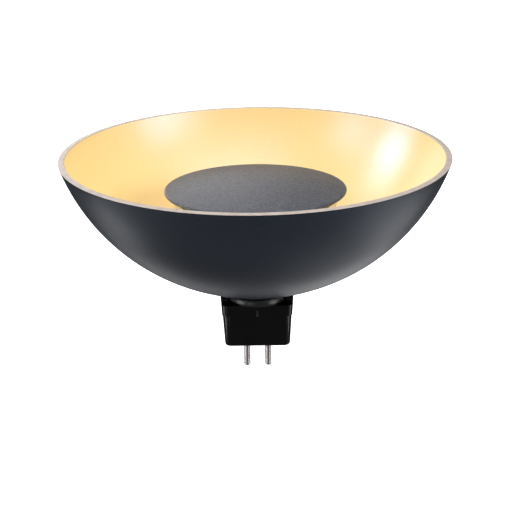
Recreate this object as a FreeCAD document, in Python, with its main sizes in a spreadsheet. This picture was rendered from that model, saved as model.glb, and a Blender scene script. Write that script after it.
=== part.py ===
"""Reflector lamp with a two-pin low-voltage base.

A spun bowl carries a hollow post in its middle. The post holds a round plate with a ring of light chips
that shine down into the bowl, and a shallow cap hides the chips from above. Under the bowl a round collar
and a moulded base hold the driver board and the two contact pins.

The frame: millimetres, +Z up towards the bowl's opening, the origin on the base's seat between the pins,
and the two pins side by side along X.
"""
import FreeCAD, Part
import math
import operator
import os

import Sketcher

# Every driving dimension: its name, its number in millimetres (or degrees, or a count) and what it is.
DRIVING_SIZES = [
    ("rim_radius", 49.5, "outer radius of the bowl's rim"),
    ("rim_height", 47.8, "height of the rim's outer edge over the seat"),
    ("rim_bevel", 0.2, "how much higher the rim's inner edge is"),
    ("bowl_radius", 52.85, "radius of the sphere that the bowl is cut from"),
    ("bowl_wall", 1.6, "thickness of the bowl"),
    ("floor_radius", 8.9, "radius of the flat under the bowl"),
    ("wire_hole", 3.2, "radius of the wire passage in bowl, pad and post"),
    ("cap_radius", 22.92, "outer radius of the glare cap"),
    ("cap_drop", 8.35, "how far the cap's edge lies below the rim"),
    ("cap_rise", 1.0, "rise of the cap from its edge to its middle"),
    ("cap_wall", 0.8, "thickness of the cap"),
    ("boss_radius", 1.9, "radius of the three bosses under the cap"),
    ("spreader_drop", 1.85, "from the cap's edge down to the plate's top"),
    ("spreader_radius", 20.5, "radius of the heat spreading plate"),
    ("spreader_wall", 1.4, "thickness of the plate"),
    ("sheet_wall", 0.3, "thickness of the thermal sheet and the thermal pad"),
    ("board_outer", 16.1, "outer radius of the light board"),
    ("board_inner", 7.3, "inner radius of the light board"),
    ("board_wall", 1.0, "thickness of both circuit boards"),
    ("chip_circle", 12.6, "radius of the ring of light chips"),
    ("chip_width", 3.5, "a light chip along the ring"),
    ("chip_depth", 2.8, "a light chip across the ring"),
    ("chip_height", 0.7, "height of a light chip"),
    ("chip_count", 12, "how many light chips"),
    ("chamber_height", 1.5, "space between light board and diffuser"),
    ("diffuser_radius", 17.0, "outer radius of the diffuser"),
    ("diffuser_wall", 0.8, "thickness of the diffuser"),
    ("ear_radius", 1.9, "radius of the diffuser's three ears"),
    ("post_foot", 8.3, "radius of the post's foot and its pad"),
    ("post_foot_wall", 1.5, "thickness of the post's foot"),
    ("post_radius", 6.5, "radius of the post"),
    ("screw_radius", 1.0, "radius of every screw's thread"),
    ("screw_play", 0.15, "play round a screw in a plain hole"),
    ("thread_play", 0.02, "play round a screw in its threaded hole"),
    ("head_radius", 1.75, "radius of a screw's head"),
    ("head_height", 0.9, "height of a screw's head"),
    ("recess_width", 0.45, "width of the cross in a screw's head"),
    ("recess_depth", 0.5, "depth of the cross in a screw's head"),
    ("post_screw_circle", 4.85, "radius of the screws into the post's two ends"),
    ("board_screw_circle", 9.3, "radius of the light board's screws"),
    ("cap_screw_circle", 18.8, "radius of the cap's screws"),
    ("grip", 4.0, "how deep a screw goes into the post"),
    ("grip_spare", 0.5, "free depth past a screw's end in the post"),
    ("boss_grip", 1.1, "how deep a screw goes into a boss of the cap"),
    ("boss_thread", 1.4, "depth of the threaded hole in a boss"),
    ("collar_foot", 11.1, "height of the collar's lower face"),
    ("collar_lower", 7.9, "radius of the collar's lower face"),
    ("collar_upper", 8.1, "radius of the collar's upper face"),
    ("collar_bore", 3.4, "radius of the collar's passage"),
    ("housing_foot", 8.2, "height of the seam between housing and base"),
    ("housing_top", 14.0, "height of the two cheeks on the housing"),
    ("housing_half_width", 8.85, "half width of the housing at the seam"),
    ("housing_half_depth", 6.42, "half depth of the housing at the seam"),
    ("housing_taper", 4.4, "draft of the housing, wider at its top, in degrees"),
    ("saddle_half_width", 7.3, "half width of the gap between the housing's two cheeks"),
    ("cheek_half_depth", 4.4, "half depth of the two cheeks"),
    ("shell_wall", 1.2, "wall of housing and base"),
    ("corner", 1.5, "radius of the upright corners"),
    ("base_half_width", 8.16, "half width of the base at the seat"),
    ("base_half_depth", 5.6, "half depth of the base at the seat"),
    ("base_taper", 4.0, "draft of the base, in degrees"),
    ("base_floor", 1.5, "thickness of the base's floor"),
    ("base_edge", 0.7, "rounding of the base's lower edge"),
    ("spigot_height", 0.9, "how far the base reaches into the housing"),
    ("spigot_play", 0.05, "play between the spigot and the housing"),
    ("pin_spacing", 5.33, "distance between the two contact pins"),
    ("pin_radius", 0.775, "radius of a contact pin"),
    ("pin_length", 6.7, "how far a pin stands out of the seat"),
    ("pin_root", 1.05, "radius of the pin's thicker root in the base's floor"),
    ("pin_play", 0.02, "play round a pin's root in the base's floor"),
    ("pin_chamfer", 0.25, "chamfer on a pin's tip"),
    ("pin_flange", 1.3, "radius of a pin's flange"),
    ("pin_flange_wall", 0.6, "thickness of a pin's flange"),
    ("tail_radius", 0.5, "radius of a pin's solder tail"),
    ("tail_top", 4.5, "height of the solder tail's end"),
    ("rib_width", 0.5, "width of the small rib on the housing's front"),
    ("rib_height", 1.7, "height of that rib"),
    ("rib_depth", 0.3, "how far that rib stands out"),
    ("lead_radius", 0.55, "radius of the two insulated leads"),
    ("lead_offset", 1.2, "distance of each lead from the lamp's axis"),
    ("lead_foot", 6.9, "height where the leads leave the driver board"),
    ("lead_bend", 1.5, "radius of the bend in a lead"),
    ("lead_reach", 8.8, "how far a lead reaches along the light board"),
    ("port_radius", 0.75, "radius of the lead's way out of the post"),
    ("driver_half_width", 6.5, "half width of the driver board"),
    ("driver_foot", 2.5, "height of the driver board's lower edge"),
    ("driver_top", 8.6, "height of the driver board's upper edge"),
    ("guide_wall", 0.6, "thickness of the ribs that hold the driver board"),
    ("guide_top", 7.0, "height of those ribs"),
    ("guide_play", 0.05, "play between the ribs and the driver board"),
    ("guide_grip", 0.3, "how far the ribs reach over the driver board's edge"),
    ("guide_root", 0.3, "how far the ribs' feet reach into the base's wall"),
    ("grommet_radius", 2.9, "radius of the grommet in the housing's roof"),
    ("grommet_bore", 2.1, "radius of the grommet's passage"),
    ("grommet_flange", 3.3, "radius of the grommet's flange"),
    ("grommet_flange_wall", 0.6, "thickness of the grommet's flange"),
    ("soft_edge", 0.15, "rounding of the small electronic parts"),
    ("rectifier_x", -4.4, "middle of the bridge rectifier along X"),
    ("rectifier_z", 6.6, "middle of the bridge rectifier's height"),
    ("rectifier_width", 3.4, "width of the bridge rectifier"),
    ("rectifier_height", 3.2, "height of the bridge rectifier"),
    ("rectifier_depth", 1.4, "thickness of the bridge rectifier"),
    ("driver_chip_x", 3.2, "middle of the driver chip along X"),
    ("driver_chip_z", 5.0, "middle of the driver chip's height"),
    ("driver_chip_width", 3.9, "width of the driver chip"),
    ("driver_chip_height", 3.4, "height of the driver chip"),
    ("driver_chip_depth", 1.5, "thickness of the driver chip"),
    ("leg_count", 4, "legs on each side of the driver chip"),
    ("leg_pitch", 0.7, "spacing of the legs"),
    ("leg_length", 0.8, "length of a leg"),
    ("leg_width", 0.3, "width of a leg"),
    ("leg_wall", 0.4, "thickness of a leg"),
    ("leg_root", 0.15, "how far a leg reaches into the driver chip"),
    ("inductor_x", -3.4, "middle of the inductor along X"),
    ("inductor_z", 5.4, "middle of the inductor's height"),
    ("inductor_side", 4.2, "side of the inductor's square"),
    ("inductor_depth", 2.0, "thickness of the inductor"),
    ("winding_outer", 1.6, "outer radius of the winding window"),
    ("winding_inner", 0.9, "radius of the core inside the winding window"),
    ("winding_depth", 0.5, "depth of the winding window"),
    ("can_x", 4.5, "middle of the capacitor can along X"),
    ("can_radius", 1.85, "radius of the capacitor can"),
    ("can_foot", 4.8, "height of the can's lower end"),
    ("can_top", 8.4, "height of the can's upper end"),
    ("can_chamfer", 0.2, "chamfer at the can's upper end"),
    ("can_groove", 0.15, "depth of the rolled groove, and half its width"),
    ("can_groove_height", 0.75, "height of the groove over the can's lower end"),
    ("diode_x", 3.2, "middle of the catch diode along X"),
    ("diode_z", 7.7, "middle of the catch diode's height"),
    ("diode_width", 2.6, "width of the catch diode"),
    ("diode_height", 1.3, "height of the catch diode"),
    ("diode_depth", 1.1, "thickness of the catch diode"),
    ("ceramic_x", 0.8, "middles of the two lower chip capacitors along X"),
    ("ceramic_upper_z", 5.0, "middle height of the upper chip capacitor"),
    ("ceramic_width", 1.0, "width of a chip capacitor"),
    ("ceramic_height", 1.2, "height of a chip capacitor"),
    ("ceramic_depth", 0.8, "thickness of a chip capacitor"),
    ("resistor_near", 4.2, "middles of the two inner chip resistors along X"),
    ("resistor_far", 5.2, "middles of the two outer chip resistors along X"),
    ("resistor_width", 0.6, "width of a chip resistor"),
    ("resistor_height", 1.1, "height of a chip resistor"),
    ("resistor_depth", 0.45, "thickness of a chip resistor"),
    ("chip_row", 3.4, "middle height of the lower row of capacitors and resistors"),
]
ROUND_ANGLES = (90, 210, 330)
STEM_ANGLES = (0, 180)
EXTRA = 1.0  # how far a cut runs past the material that it has to clear
TINY = 1e-6
CENTRE = 3  # a sketch's number for the centre of a circle or arc
# A sketch's numbers for the axis where each coordinate is nought.
SKETCH_AXES = {"DistanceX": -2, "DistanceY": -1}

doc = FreeCAD.newDocument("reflector_lamp")
sheet = doc.addObject("Spreadsheet::Sheet", "Sizes")


class Size:
    """A length that knows its number and the sheet formula that drives it."""

    def __init__(self, value, formula):
        self.value = value
        self.formula = formula

    def combined(self, other, sign, work, swapped=False):
        other = as_size(other)
        first, second = (other, self) if swapped else (self, other)
        formula = "(%s %s %s)" % (first.formula, sign, second.formula)
        return Size(work(first.value, second.value), formula)

    def __add__(self, other):
        return self.combined(other, "+", operator.add)

    def __radd__(self, other):
        return self.combined(other, "+", operator.add, swapped=True)

    def __sub__(self, other):
        return self.combined(other, "-", operator.sub)

    def __rsub__(self, other):
        return self.combined(other, "-", operator.sub, swapped=True)

    def __mul__(self, other):
        return self.combined(other, "*", operator.mul)

    def __rmul__(self, other):
        return self.combined(other, "*", operator.mul, swapped=True)

    def __truediv__(self, other):
        return self.combined(other, "/", operator.truediv)

    def __neg__(self):
        return 0 - self


def as_size(thing):
    """A Size as it is, or a plain number as a Size."""
    if isinstance(thing, Size):
        return thing
    return Size(float(thing), repr(float(thing)))


def other_leg(hypotenuse, leg):
    """The third side of a right triangle."""
    square = hypotenuse * hypotenuse - leg * leg
    return Size(math.sqrt(square.value), "sqrt(%s)" % square.formula)


def fill_sheet():
    """Writes the driving dimensions into the sheet and returns them as Sizes by name."""
    sizes = {}
    for row, (name, value, meaning) in enumerate(DRIVING_SIZES, start=1):
        sheet.set("A%d" % row, name)
        sheet.set("B%d" % row, str(value))
        sheet.set("C%d" % row, meaning)
        sheet.setAlias("B%d" % row, name)
        sizes[name] = Size(float(value), "Sizes." + name)
    doc.recompute()
    return sizes


s = fill_sheet()

# Heights and radii that follow from the driving dimensions, from the bowl down and then from the cap down.
sphere_height = s["rim_height"] + other_leg(s["bowl_radius"], s["rim_radius"])
inner_sphere = s["bowl_radius"] - s["bowl_wall"]
rim_inner_height = s["rim_height"] + s["rim_bevel"]
rim_inner_radius = other_leg(inner_sphere, sphere_height - rim_inner_height)
bowl_seat = sphere_height - other_leg(s["bowl_radius"], s["floor_radius"])
bowl_floor = bowl_seat + s["bowl_wall"]
inner_floor_radius = other_leg(inner_sphere, sphere_height - bowl_floor)
post_foot_height = bowl_floor + s["sheet_wall"]

cap_edge = s["rim_height"] - s["cap_drop"]
cap_half_wall = s["cap_wall"] / 2
spreader_top = cap_edge - s["spreader_drop"]
spreader_foot = spreader_top - s["spreader_wall"]
board_top = spreader_foot - s["sheet_wall"]
board_foot = board_top - s["board_wall"]
chip_foot = board_foot - s["chip_height"]
diffuser_top = board_foot - s["chamber_height"]
diffuser_foot = diffuser_top - s["diffuser_wall"]
ear_foot = spreader_foot - s["diffuser_wall"]
lead_height = board_foot - s["lead_radius"]

roof_foot = s["collar_foot"] - s["shell_wall"]
driver_front = s["lead_radius"]
driver_back = driver_front + s["board_wall"]
plain_hole = s["screw_radius"] + s["screw_play"]
threaded_hole = s["screw_radius"] + s["thread_play"]
cavity_half_width = s["base_half_width"] - s["shell_wall"]
cavity_half_depth = s["base_half_depth"] - s["shell_wall"]
room_half_width = s["housing_half_width"] - s["shell_wall"]
room_half_depth = s["housing_half_depth"] - s["shell_wall"]
room_corner = s["corner"] - s["shell_wall"] / 2


class Arc:
    """An arc of an outline: its radius, its centre and the way round."""

    def __init__(self, radius, centre_x, centre_y, anticlockwise=True):
        self.radius = as_size(radius)
        self.centre_x = as_size(centre_x)
        self.centre_y = as_size(centre_y)
        self.anticlockwise = anticlockwise


def new_body(label):
    """An empty body whose label is the sub-part's name."""
    body = doc.addObject("PartDesign::Body", label)
    body.Label = label
    return body


def origin_feature(body, role):
    """One of the body's own origin planes or axes."""
    return [feature for feature in body.Origin.OriginFeatures if feature.Role == role][0]


def new_sketch(body, name, plane="XY_Plane", offset=0):
    """An empty sketch on one of the body's origin planes, moved along that plane's normal."""
    sketch = body.newObject("Sketcher::SketchObject", body.Label + "_" + name)
    sketch.AttachmentSupport = [(origin_feature(body, plane), "")]
    sketch.MapMode = "FlatFace"
    sketch.setExpression("AttachmentOffset.Base.z", as_size(offset).formula)
    return sketch


def tie_coordinate(sketch, kind, edge, end, size):
    """Ties one coordinate of an edge's end to a formula; a coordinate of nought lies on the sketch's axis."""
    if abs(size.value) < TINY:
        sketch.addConstraint(Sketcher.Constraint("PointOnObject", edge, end, SKETCH_AXES[kind]))
        return
    index = sketch.addConstraint(Sketcher.Constraint(kind, edge, end, size.value))
    name = "%s_%d_%d" % (kind, edge, end)
    sketch.renameConstraint(index, name)
    sketch.setExpression("Constraints." + name, size.formula)


def tie_point(sketch, edge, end, x, y):
    """Ties an edge's end to a place."""
    tie_coordinate(sketch, "DistanceX", edge, end, x)
    tie_coordinate(sketch, "DistanceY", edge, end, y)


def tie_radius(sketch, edge, radius):
    """Ties a circle's radius to a formula."""
    index = sketch.addConstraint(Sketcher.Constraint("Radius", edge, radius.value))
    name = "radius_%d" % edge
    sketch.renameConstraint(index, name)
    sketch.setExpression("Constraints." + name, radius.formula)


def arc_curve(start, end, arc):
    """The curve of an arc from start to end, which a sketch always holds anticlockwise."""
    centre = FreeCAD.Vector(arc.centre_x.value, arc.centre_y.value, 0)
    first, last = (start, end) if arc.anticlockwise else (end, start)
    first_angle = math.atan2(first.y - centre.y, first.x - centre.x)
    last_angle = math.atan2(last.y - centre.y, last.x - centre.x)
    circle = Part.Circle(centre, FreeCAD.Vector(0, 0, 1), arc.radius.value)
    return Part.ArcOfCircle(circle, first_angle, last_angle)


def draw_path(sketch, points, arcs=None, closed=True):
    """Draws lines through the points; arcs[i] is the Arc that leaves point i in place of a line."""
    arcs = arcs or {}
    points = [(as_size(x), as_size(y)) for x, y in points]
    count = len(points)
    first_edge = sketch.GeometryCount
    edge_count = count if closed else count - 1
    ends = []
    for i in range(edge_count):
        start = FreeCAD.Vector(points[i][0].value, points[i][1].value, 0)
        end = FreeCAD.Vector(points[(i + 1) % count][0].value, points[(i + 1) % count][1].value, 0)
        if i in arcs:
            sketch.addGeometry(arc_curve(start, end, arcs[i]), False)
            ends.append((1, 2) if arcs[i].anticlockwise else (2, 1))
        else:
            sketch.addGeometry(Part.LineSegment(start, end), False)
            ends.append((1, 2))
    for i in range(edge_count if closed else edge_count - 1):
        following = (i + 1) % edge_count
        joint = (first_edge + i, ends[i][1], first_edge + following, ends[following][0])
        sketch.addConstraint(Sketcher.Constraint("Coincident", *joint))
    for i in range(edge_count):
        tie_point(sketch, first_edge + i, ends[i][0], *points[i])
        if i in arcs:
            tie_coordinate(sketch, "DistanceX", first_edge + i, CENTRE, arcs[i].centre_x)
    if not closed:
        tie_point(sketch, first_edge + edge_count - 1, ends[-1][1], *points[-1])
    doc.recompute()
    if not sketch.FullyConstrained:
        raise RuntimeError("%s is not fully constrained" % sketch.Label)


def draw_circle(sketch, x, y, radius):
    """Draws one circle."""
    x, y, radius = as_size(x), as_size(y), as_size(radius)
    edge = sketch.GeometryCount
    centre = FreeCAD.Vector(x.value, y.value, 0)
    sketch.addGeometry(Part.Circle(centre, FreeCAD.Vector(0, 0, 1), radius.value), False)
    tie_point(sketch, edge, CENTRE, x, y)
    tie_radius(sketch, edge, radius)


def draw_rectangle(sketch, left, low, right, high):
    """Draws an upright rectangle."""
    draw_path(sketch, [(left, low), (right, low), (right, high), (left, high)])


def draw_rounded_rectangle(sketch, half_width, half_depth, corner):
    """Draws a rectangle with round corners about the origin."""
    flat_x = half_width - corner
    flat_y = half_depth - corner
    points = [
        (-flat_x, -half_depth), (flat_x, -half_depth),
        (half_width, -flat_y), (half_width, flat_y),
        (flat_x, half_depth), (-flat_x, half_depth),
        (-half_width, flat_y), (-half_width, -flat_y),
    ]
    arcs = {
        1: Arc(corner, flat_x, -flat_y),
        3: Arc(corner, flat_x, flat_y),
        5: Arc(corner, -flat_x, flat_y),
        7: Arc(corner, -flat_x, -flat_y),
    }
    draw_path(sketch, points, arcs)


def revolve(body, name, points, arcs=None):
    """Turns an outline of (radius, height) points round the body's Z axis."""
    sketch = new_sketch(body, name + "_profile", "XZ_Plane")
    draw_path(sketch, points, arcs)
    turned = body.newObject("PartDesign::Revolution", body.Label + "_" + name)
    turned.Profile = sketch
    turned.ReferenceAxis = (sketch, ["V_Axis"])
    turned.Angle = 360
    doc.recompute()
    return turned


def set_size(feature, name, size):
    """Binds a feature's size to its formula."""
    size = as_size(size)
    setattr(feature, name, size.value)
    feature.setExpression(name, size.formula)


def move_body(body, x=0, y=0):
    """Moves a whole body sideways by formulas."""
    body.setExpression("Placement.Base.x", as_size(x).formula)
    body.setExpression("Placement.Base.y", as_size(y).formula)


def turn_body(body, angle):
    """Turns a whole body round the lamp's axis, in degrees."""
    body.Placement.Rotation = FreeCAD.Rotation(FreeCAD.Vector(0, 0, 1), angle)


def pad(body, name, sketch, length, backwards=False, taper=None):
    """Raises a sketch into a solid along its normal, or against it."""
    raised = body.newObject("PartDesign::Pad", body.Label + "_" + name)
    raised.Profile = sketch
    raised.Reversed = backwards
    set_size(raised, "Length", length)
    if taper is not None:
        set_size(raised, "TaperAngle", taper)
    doc.recompute()
    return raised


def cut(body, name, sketch, length, backwards=False):
    """Cuts a sketch out of the body against its normal, or along it, and makes sure that material goes."""
    before = body.Shape.Volume
    pocket = body.newObject("PartDesign::Pocket", body.Label + "_" + name)
    pocket.Profile = sketch
    pocket.Reversed = backwards
    set_size(pocket, "Length", length)
    doc.recompute()
    if not body.Shape.Volume < before - TINY:
        raise RuntimeError("%s cuts nothing" % pocket.Label)
    return pocket


def drill(body, name, places, radius, foot, depth):
    """Drills upright round holes from the height foot up by depth."""
    sketch = new_sketch(body, name + "_outline", offset=foot)
    for x, y in places:
        draw_circle(sketch, x, y, radius)
    return cut(body, name, sketch, depth, backwards=True)


def round_edges(body, name, feature, radius, wanted):
    """Rounds the edges of a feature that the test wanted picks."""
    picked = ["Edge%d" % i for i, edge in enumerate(feature.Shape.Edges, start=1) if wanted(edge)]
    fillet = body.newObject("PartDesign::Fillet", body.Label + "_" + name)
    fillet.Base = (feature, picked)
    set_size(fillet, "Radius", radius)
    doc.recompute()
    return fillet


def every_edge(edge):
    """Picks every edge."""
    return True


def repeat(body, features, count):
    """Repeats features round the body's Z axis."""
    pattern = body.newObject("PartDesign::PolarPattern", body.Label + "_ring")
    pattern.Originals = features
    pattern.Axis = (origin_feature(body, "Z_Axis"), [""])
    pattern.Angle = 360
    pattern.Occurrences = int(as_size(count).value)
    if isinstance(count, Size):
        pattern.setExpression("Occurrences", count.formula)
    body.Tip = pattern
    doc.recompute()
    return pattern


def on_circle(radius, angle):
    """The place at an angle on a circle round the lamp's axis."""
    return radius * round(math.cos(math.radians(angle)), 9), radius * round(math.sin(math.radians(angle)), 9)


def stem_places():
    """The places of the screws that hold the housing, the collar and the bowl under the post."""
    return [on_circle(s["post_screw_circle"], angle) for angle in STEM_ANGLES]


def make_reflector_bowl():
    """The spun bowl: a slice of a sphere with a flat floor and a bevelled rim."""
    body = new_body("reflector_bowl")
    points = [
        (s["wire_hole"], bowl_seat),
        (s["floor_radius"], bowl_seat),
        (s["rim_radius"], s["rim_height"]),
        (rim_inner_radius, rim_inner_height),
        (inner_floor_radius, bowl_floor),
        (s["wire_hole"], bowl_floor),
    ]
    arcs = {
        1: Arc(s["bowl_radius"], 0, sphere_height),
        3: Arc(inner_sphere, 0, sphere_height, anticlockwise=False),
    }
    revolve(body, "shell", points, arcs)
    drill(body, "screw_holes", stem_places(), plain_hole, bowl_seat, s["bowl_wall"])


def make_neck_collar():
    """The round neck between the bowl and the base, wider at the top."""
    body = new_body("neck_collar")
    points = [
        (s["collar_bore"], s["collar_foot"]),
        (s["collar_lower"], s["collar_foot"]),
        (s["collar_upper"], bowl_seat),
        (s["collar_bore"], bowl_seat),
    ]
    revolve(body, "cone", points)
    drill(body, "screw_holes", stem_places(), plain_hole, s["collar_foot"], bowl_seat - s["collar_foot"])


def make_driver_housing():
    """The upper part of the base: a box open below, with two cheeks on its roof that hold the collar."""
    body = new_body("driver_housing")
    outer = new_sketch(body, "outline", offset=s["housing_foot"])
    draw_rounded_rectangle(outer, s["housing_half_width"], s["housing_half_depth"], s["corner"])
    height = s["housing_top"] - s["housing_foot"]
    pad(body, "block", outer, height, taper=s["housing_taper"])
    rib = new_sketch(body, "rib_outline", "XZ_Plane", offset=s["housing_half_depth"] - EXTRA)
    half = s["rib_width"] / 2
    rib_top = s["housing_foot"] + s["rib_height"]
    rib_foot = s["housing_foot"]
    draw_path(rib, [(-half, rib_foot), (half, rib_foot), (half / 3, rib_top), (-half / 3, rib_top)])
    pad(body, "rib", rib, s["rib_depth"] + EXTRA)
    room = new_sketch(body, "room_outline", offset=s["housing_foot"])
    draw_rounded_rectangle(room, room_half_width, room_half_depth, room_corner)
    cut(body, "room", room, roof_foot - s["housing_foot"], backwards=True)
    reach = s["housing_half_depth"] + 2 * EXTRA
    mouth = s["housing_top"] + EXTRA
    saddle = new_sketch(body, "saddle_outline", "XZ_Plane", offset=-reach)
    draw_rectangle(saddle, -s["saddle_half_width"], s["collar_foot"], s["saddle_half_width"], mouth)
    cut(body, "saddle", saddle, 2 * reach, backwards=True)
    shoulders = new_sketch(body, "shoulder_outlines", offset=s["collar_foot"])
    draw_rectangle(shoulders, -2 * reach, -reach, 2 * reach, -s["cheek_half_depth"])
    draw_rectangle(shoulders, -2 * reach, s["cheek_half_depth"], 2 * reach, reach)
    cut(body, "shoulders", shoulders, mouth - s["collar_foot"], backwards=True)
    slope = (s["collar_upper"] - s["collar_lower"]) / (bowl_seat - s["collar_foot"])
    play = s["spigot_play"]
    socket = new_sketch(body, "socket_profile", "XZ_Plane")
    points = [
        (0, s["collar_foot"]),
        (s["collar_lower"] + play, s["collar_foot"]),
        (s["collar_lower"] + play + slope * (mouth - s["collar_foot"]), mouth),
        (0, mouth),
    ]
    draw_path(socket, points)
    before = body.Shape.Volume
    groove = body.newObject("PartDesign::Groove", "driver_housing_socket")
    groove.Profile = socket
    groove.ReferenceAxis = (socket, ["V_Axis"])
    groove.Angle = 360
    doc.recompute()
    if not body.Shape.Volume < before - TINY:
        raise RuntimeError("the collar's socket cuts nothing")
    drill(body, "screw_holes", stem_places(), plain_hole, roof_foot, s["shell_wall"])
    drill(body, "wire_passage", [(0, 0)], s["grommet_radius"] + play, roof_foot, s["shell_wall"])


def make_base_cap():
    """The lower part of the base: a tapered cup with a spigot, pin holes and rails for the driver board."""
    body = new_body("base_cap")
    outer = new_sketch(body, "outline")
    draw_rounded_rectangle(outer, s["base_half_width"], s["base_half_depth"], s["corner"])
    block = pad(body, "block", outer, s["housing_foot"], taper=s["base_taper"])

    def at_the_seat(edge):
        return edge.BoundBox.ZMax < TINY

    round_edges(body, "lower_edge", block, s["base_edge"], at_the_seat)
    spigot = new_sketch(body, "spigot_outline", offset=s["housing_foot"])
    spigot_half_width = room_half_width - s["spigot_play"]
    spigot_half_depth = room_half_depth - s["spigot_play"]
    draw_rounded_rectangle(spigot, spigot_half_width, spigot_half_depth, room_corner)
    pad(body, "spigot", spigot, s["spigot_height"])
    cavity = new_sketch(body, "cavity_outline", offset=s["base_floor"])
    draw_rounded_rectangle(cavity, cavity_half_width, cavity_half_depth, s["corner"] / 2)
    cut(body, "cavity", cavity, s["housing_foot"] + s["spigot_height"] - s["base_floor"], backwards=True)
    rails = new_sketch(body, "rail_outlines", offset=s["base_floor"])
    rail_inner = s["driver_half_width"] - s["guide_grip"]
    rail_outer = cavity_half_width + s["guide_root"]
    bands = (
        (driver_front - s["guide_play"] - s["guide_wall"], driver_front - s["guide_play"]),
        (driver_back + s["guide_play"], driver_back + s["guide_play"] + s["guide_wall"]),
    )
    for low, high in bands:
        draw_rectangle(rails, rail_inner, low, rail_outer, high)
        draw_rectangle(rails, -rail_outer, low, -rail_inner, high)
    pad(body, "rails", rails, s["guide_top"] - s["base_floor"])
    half_spacing = s["pin_spacing"] / 2
    pin_hole = s["pin_root"] + s["pin_play"]
    drill(body, "pin_holes", [(half_spacing, 0), (-half_spacing, 0)], pin_hole, 0, s["base_floor"])


def make_contact_pin(label, side):
    """A solid contact pin: chamfered tip, shank, root in the floor, flange above it and a solder tail."""
    body = new_body(label)
    tip = -s["pin_length"]
    flange_top = s["base_floor"] + s["pin_flange_wall"]
    points = [
        (0, tip),
        (s["pin_radius"] - s["pin_chamfer"], tip),
        (s["pin_radius"], tip + s["pin_chamfer"]),
        (s["pin_radius"], 0),
        (s["pin_root"], 0),
        (s["pin_root"], s["base_floor"]),
        (s["pin_flange"], s["base_floor"]),
        (s["pin_flange"], flange_top),
        (s["tail_radius"], flange_top),
        (s["tail_radius"], s["tail_top"]),
        (0, s["tail_top"]),
    ]
    revolve(body, "pin", points)
    move_body(body, x=side * s["pin_spacing"] / 2)


def make_driver_board():
    """The small upright board that stands across the base."""
    body = new_body("driver_board")
    sketch = new_sketch(body, "outline", "XZ_Plane", offset=-driver_front)
    half = s["driver_half_width"]
    draw_rectangle(sketch, -half, s["driver_foot"], half, s["driver_top"])
    pad(body, "plate", sketch, s["board_wall"], backwards=True)


def make_board_parts(label, kind, places, front=True):
    """Small parts of one kind on the driver board; places are the (x, z) middles of their outlines."""
    body = new_body(label)
    width, height, thickness = s[kind + "_width"], s[kind + "_height"], s[kind + "_depth"]
    offset = -driver_front if front else -driver_back
    sketch = new_sketch(body, "outlines", "XZ_Plane", offset=offset)
    for x, z in places:
        draw_rectangle(sketch, x - width / 2, z - height / 2, x + width / 2, z + height / 2)
    blocks = pad(body, "blocks", sketch, thickness, backwards=not front)
    round_edges(body, "soft_edges", blocks, s["soft_edge"], every_edge)
    return body


def make_driver_chip():
    """The driver's integrated circuit with its row of legs on each side."""
    middle_x, middle_z = s["driver_chip_x"], s["driver_chip_z"]
    body = make_board_parts("driver_chip", "driver_chip", [(middle_x, middle_z)], front=False)
    legs = new_sketch(body, "leg_outlines", "XZ_Plane", offset=-driver_back)
    count = int(s["leg_count"].value)
    inner = s["driver_chip_width"] / 2 - s["leg_root"]
    outer = inner + s["leg_length"]
    half = s["leg_width"] / 2
    for step in range(count):
        height = middle_z + (step - (count - 1) / 2) * s["leg_pitch"]
        draw_rectangle(legs, middle_x + inner, height - half, middle_x + outer, height + half)
        draw_rectangle(legs, middle_x - outer, height - half, middle_x - inner, height + half)
    pad(body, "legs", legs, s["leg_wall"], backwards=True)


def make_power_inductor():
    """A square choke with a round winding window in its face."""
    body = new_body("power_inductor")
    middle_x, middle_z = s["inductor_x"], s["inductor_z"]
    half = s["inductor_side"] / 2
    outline = new_sketch(body, "outline", "XZ_Plane", offset=-driver_back)
    draw_rectangle(outline, middle_x - half, middle_z - half, middle_x + half, middle_z + half)
    block = pad(body, "block", outline, s["inductor_depth"], backwards=True)
    round_edges(body, "soft_edges", block, s["soft_edge"], every_edge)
    window = new_sketch(body, "window", "XZ_Plane", offset=-driver_back - s["inductor_depth"])
    draw_circle(window, middle_x, middle_z, s["winding_outer"])
    draw_circle(window, middle_x, middle_z, s["winding_inner"])
    cut(body, "ring", window, s["winding_depth"], backwards=True)


def make_smoothing_capacitor():
    """An upright can with the rolled groove near its foot."""
    body = new_body("smoothing_capacitor")
    radius, foot, top, chamfer = s["can_radius"], s["can_foot"], s["can_top"], s["can_chamfer"]
    groove = foot + s["can_groove_height"]
    points = [
        (0, foot),
        (radius, foot),
        (radius, groove - s["can_groove"]),
        (radius - s["can_groove"], groove),
        (radius, groove + s["can_groove"]),
        (radius, top - chamfer),
        (radius - chamfer, top),
        (0, top),
    ]
    revolve(body, "can", points)
    move_body(body, x=s["can_x"], y=driver_front - radius)


def make_lead_grommet():
    """The soft sleeve that keeps the leads off the edge of the housing's roof."""
    body = new_body("lead_grommet")
    flange_top = s["collar_foot"] + s["grommet_flange_wall"]
    points = [
        (s["grommet_bore"], roof_foot),
        (s["grommet_radius"], roof_foot),
        (s["grommet_radius"], s["collar_foot"]),
        (s["grommet_flange"], s["collar_foot"]),
        (s["grommet_flange"], flange_top),
        (s["grommet_bore"], flange_top),
    ]
    revolve(body, "sleeve", points)


def make_stem_gasket():
    """The thin thermal pad between the bowl's floor and the post's foot."""
    body = new_body("stem_gasket")
    sketch = new_sketch(body, "outline", offset=bowl_floor)
    draw_circle(sketch, 0, 0, s["post_foot"])
    draw_circle(sketch, 0, 0, s["wire_hole"])
    for x, y in stem_places():
        draw_circle(sketch, x, y, plain_hole)
    pad(body, "pad", sketch, s["sheet_wall"])


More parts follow.
